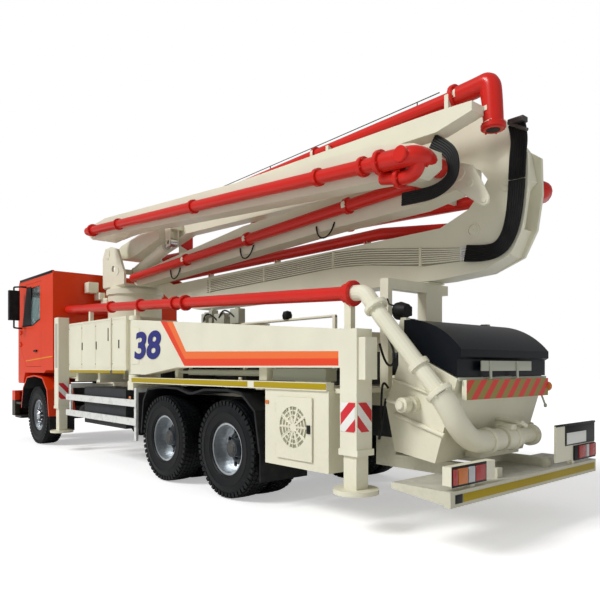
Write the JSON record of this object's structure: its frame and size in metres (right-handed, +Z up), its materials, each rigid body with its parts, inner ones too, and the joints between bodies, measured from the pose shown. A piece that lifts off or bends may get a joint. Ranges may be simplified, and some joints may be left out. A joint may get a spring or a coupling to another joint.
{
  "type": "truck-mounted concrete pump",
  "caption": "Three-axle tilt-cab truck with a folded five-section placing boom on a slewing turret, a rear hopper, swing-out legs and a fixed delivery line.",
  "frame": {"origin": "middle of the length and width, on the ground under the tyres", "axes": "+X ahead toward the cab, +Y to the truck's left, +Z up"},
  "size_m": [10.468, 3.04, 3.942],
  "materials": {
    "alu": "satin",
    "black_plastic": "matte",
    "boom_cream": "gloss",
    "cab_orange": "gloss",
    "cab_trim": "matte",
    "cream_paint": "gloss",
    "frame_grey": "satin",
    "glass_tint": "clear",
    "lamp_red": "gloss",
    "rim_steel": "satin",
    "steel_bare": "satin",
    "tyre_black": "matte",
    "white_pipe": "satin"
  },
  "bodies": {
    "chassis": {"frame_rails": "frame_grey", "axles": "frame_grey", "engine": "frame_grey", "front_bumper": "cab_orange", "tanks": "alu", "side_guards": "alu", "wings": "frame_grey", "subframe": "cream_paint", "beam_sleeves": "cream_paint", "lockers": "cream_paint", "pump": "cream_paint", "cooler_box": "cream_paint", "hopper_tub": "cream_paint", "boom_rest": "cream_paint", "rear_platform": "frame_grey", "rear_lamps": "lamp_red", "delivery_pipe": "white_pipe"},
    "wheel_front_left": {"tyre_front_left": "tyre_black", "rim_front_left": "rim_steel"},
    "wheel_front_right": {"tyre_front_right": "tyre_black", "rim_front_right": "rim_steel"},
    "wheels_mid_left": {"tyres_mid_left": "tyre_black", "rims_mid_left": "rim_steel"},
    "wheels_mid_right": {"tyres_mid_right": "tyre_black", "rims_mid_right": "rim_steel"},
    "wheels_rear_left": {"tyres_rear_left": "tyre_black", "rims_rear_left": "rim_steel"},
    "wheels_rear_right": {"tyres_rear_right": "tyre_black", "rims_rear_right": "rim_steel"},
    "steer_left": {"knuckle_left": "frame_grey"},
    "steer_right": {"knuckle_right": "frame_grey"},
    "cab": {"cab_shell": "cab_orange", "windscreen": "glass_tint", "cab_inside": "cab_trim", "sun_visor": "black_plastic"},
    "door_left": {"door_left": "cab_orange", "door_glass_left": "glass_tint", "mirror_left": "black_plastic"},
    "door_right": {"door_right": "cab_orange", "door_glass_right": "glass_tint", "mirror_right": "black_plastic"},
    "turret": {"turret": "boom_cream"},
    "boom_1": {"boom_1": "boom_cream"},
    "boom_2": {"boom_2": "boom_cream"},
    "boom_3": {"boom_3": "boom_cream"},
    "boom_4": {"boom_4": "boom_cream"},
    "boom_5": {"boom_5": "boom_cream"},
    "lift_barrel": {"lift_barrel": "cream_paint"},
    "lift_rod": {"lift_rod": "steel_bare"},
    "front_beam_left": {"front_beam_left": "cream_paint"},
    "front_beam_right": {"front_beam_right": "cream_paint"},
    "front_jack_left": {"front_jack_left": "cream_paint"},
    "front_jack_right": {"front_jack_right": "cream_paint"},
    "rear_arm_left": {"rear_arm_left": "cream_paint"},
    "rear_arm_right": {"rear_arm_right": "cream_paint"},
    "rear_jack_left": {"rear_jack_left": "cream_paint"},
    "rear_jack_right": {"rear_jack_right": "cream_paint"},
    "agitator": {"agitator": "steel_bare"},
    "hopper_lid": {"hopper_lid": "black_plastic"},
    "cooler_door": {"cooler_door": "cream_paint"}
  },
  "joints": [
    {"name": "steer_left", "type": "hinge", "parent": "chassis", "child": "steer_left", "pos_m": [3.794, 0.872, 0.538], "axis": [0, 0, 1], "range_deg": [-40, 40]},
    {"name": "wheel_front_left", "type": "hinge", "parent": "steer_left", "child": "wheel_front_left", "pos_m": [3.794, 1.03, 0.538], "axis": [0, 1, 0], "continuous": true},
    {"name": "wheels_mid_left", "type": "hinge", "parent": "chassis", "child": "wheels_mid_left", "pos_m": [-1.006, 0.911, 0.538], "axis": [0, 1, 0], "continuous": true},
    {"name": "wheels_rear_left", "type": "hinge", "parent": "chassis", "child": "wheels_rear_left", "pos_m": [-2.356, 0.911, 0.538], "axis": [0, 1, 0], "continuous": true},
    {"name": "steer_right", "type": "hinge", "parent": "chassis", "child": "steer_right", "pos_m": [3.794, -0.872, 0.538], "axis": [0, 0, 1], "range_deg": [-40, 40]},
    {"name": "wheel_front_right", "type": "hinge", "parent": "steer_right", "child": "wheel_front_right", "pos_m": [3.794, -1.03, 0.538], "axis": [0, 1, 0], "continuous": true},
    {"name": "wheels_mid_right", "type": "hinge", "parent": "chassis", "child": "wheels_mid_right", "pos_m": [-1.006, -0.911, 0.538], "axis": [0, 1, 0], "continuous": true},
    {"name": "wheels_rear_right", "type": "hinge", "parent": "chassis", "child": "wheels_rear_right", "pos_m": [-2.356, -0.911, 0.538], "axis": [0, 1, 0], "continuous": true},
    {"name": "cab_tilt", "type": "hinge", "parent": "chassis", "child": "cab", "pos_m": [4.994, 0, 1.03], "axis": [0, 1, 0], "range_deg": [0, 60]},
    {"name": "door_left", "type": "hinge", "parent": "cab", "child": "door_left", "pos_m": [4.582, 1.248, 2], "axis": [0, 0, -1], "range_deg": [0, 70]},
    {"name": "door_right", "type": "hinge", "parent": "cab", "child": "door_right", "pos_m": [4.582, -1.248, 2], "axis": [0, 0, 1], "range_deg": [0, 70]},
    {"name": "boom_lift", "type": "hinge", "parent": "turret", "child": "boom_1", "pos_m": [2.424, 0, 3.43], "axis": [0, 1, 0], "range_deg": [0, 85]},
    {"name": "turret_slew", "type": "hinge", "parent": "chassis", "child": "turret", "pos_m": [2.204, 0, 2.793], "axis": [0, 0, 1], "range_deg": [-185, 185]},
    {"name": "boom_2_fold", "type": "hinge", "parent": "boom_1", "child": "boom_2", "pos_m": [-4.956, 0, 3.11], "axis": [0, 1, 0], "range_deg": [0, 180]},
    {"name": "boom_3_fold", "type": "hinge", "parent": "boom_2", "child": "boom_3", "pos_m": [1.644, 0, 2.935], "axis": [0, 1, 0], "range_deg": [0, 180]},
    {"name": "boom_4_fold", "type": "hinge", "parent": "boom_3", "child": "boom_4", "pos_m": [-4.606, 0, 3.2], "axis": [0, -1, 0], "range_deg": [0, 180]},
    {"name": "boom_5_fold", "type": "hinge", "parent": "boom_4", "child": "boom_5", "pos_m": [2.044, 0, 3.7], "axis": [0, 1, 0], "range_deg": [0, 180]},
    {"name": "lift_barrel_swing", "type": "hinge", "parent": "turret", "child": "lift_barrel", "pos_m": [2.044, 0.06, 3.1], "axis": [0, 1, 0], "range_deg": [0, 82.1]},
    {"name": "lift_rod_stroke", "type": "slide", "parent": "lift_barrel", "child": "lift_rod", "axis": [-0.9649, 0, 0.2625], "range_m": [0, 0.675]},
    {"name": "front_beam_left", "type": "slide", "parent": "chassis", "child": "front_beam_left", "axis": [0, 1, 0], "range_m": [0, 1.4]},
    {"name": "front_jack_left", "type": "slide", "parent": "front_beam_left", "child": "front_jack_left", "axis": [0, 0, -1], "range_m": [0, 0.5]},
    {"name": "rear_arm_left", "type": "hinge", "parent": "chassis", "child": "rear_arm_left", "pos_m": [-0.096, 1.15, 1.7], "axis": [0, 0, -1], "range_deg": [0, 70]},
    {"name": "rear_jack_left", "type": "slide", "parent": "rear_arm_left", "child": "rear_jack_left", "axis": [0, 0, -1], "range_m": [0, 0.45]},
    {"name": "front_beam_right", "type": "slide", "parent": "chassis", "child": "front_beam_right", "axis": [0, -1, 0], "range_m": [0, 1.4]},
    {"name": "front_jack_right", "type": "slide", "parent": "front_beam_right", "child": "front_jack_right", "axis": [0, 0, -1], "range_m": [0, 0.5]},
    {"name": "rear_arm_right", "type": "hinge", "parent": "chassis", "child": "rear_arm_right", "pos_m": [-0.096, -1.15, 1.7], "axis": [0, 0, 1], "range_deg": [0, 70]},
    {"name": "rear_jack_right", "type": "slide", "parent": "rear_arm_right", "child": "rear_jack_right", "axis": [0, 0, -1], "range_m": [0, 0.45]},
    {"name": "agitator_spin", "type": "hinge", "parent": "chassis", "child": "agitator", "pos_m": [-4.516, 0, 1.11], "axis": [0, 1, 0], "continuous": true},
    {"name": "hopper_lid", "type": "hinge", "parent": "chassis", "child": "hopper_lid", "pos_m": [-4.386, 0, 1.85], "axis": [0, 1, 0], "range_deg": [0, 60]},
    {"name": "cooler_door", "type": "hinge", "parent": "chassis", "child": "cooler_door", "pos_m": [-3.237, 1.241, 0.855], "axis": [0, 0, -1], "range_deg": [0, 100]}
  ],
  "couplings": [
    {"joint": "steer_right", "follows": "steer_left", "ratio": 1},
    {"joint": "turret_slew", "follows": "boom_lift", "ratio": -2.1765},
    {"joint": "boom_2_fold", "follows": "boom_lift", "ratio": 0.025},
    {"joint": "boom_3_fold", "follows": "boom_lift", "ratio": 0.08},
    {"joint": "lift_barrel_swing", "follows": "boom_lift", "ratio": 0.96484},
    {"joint": "lift_rod_stroke", "follows": "boom_lift", "m_per_rad": 0.45494}
  ]
}
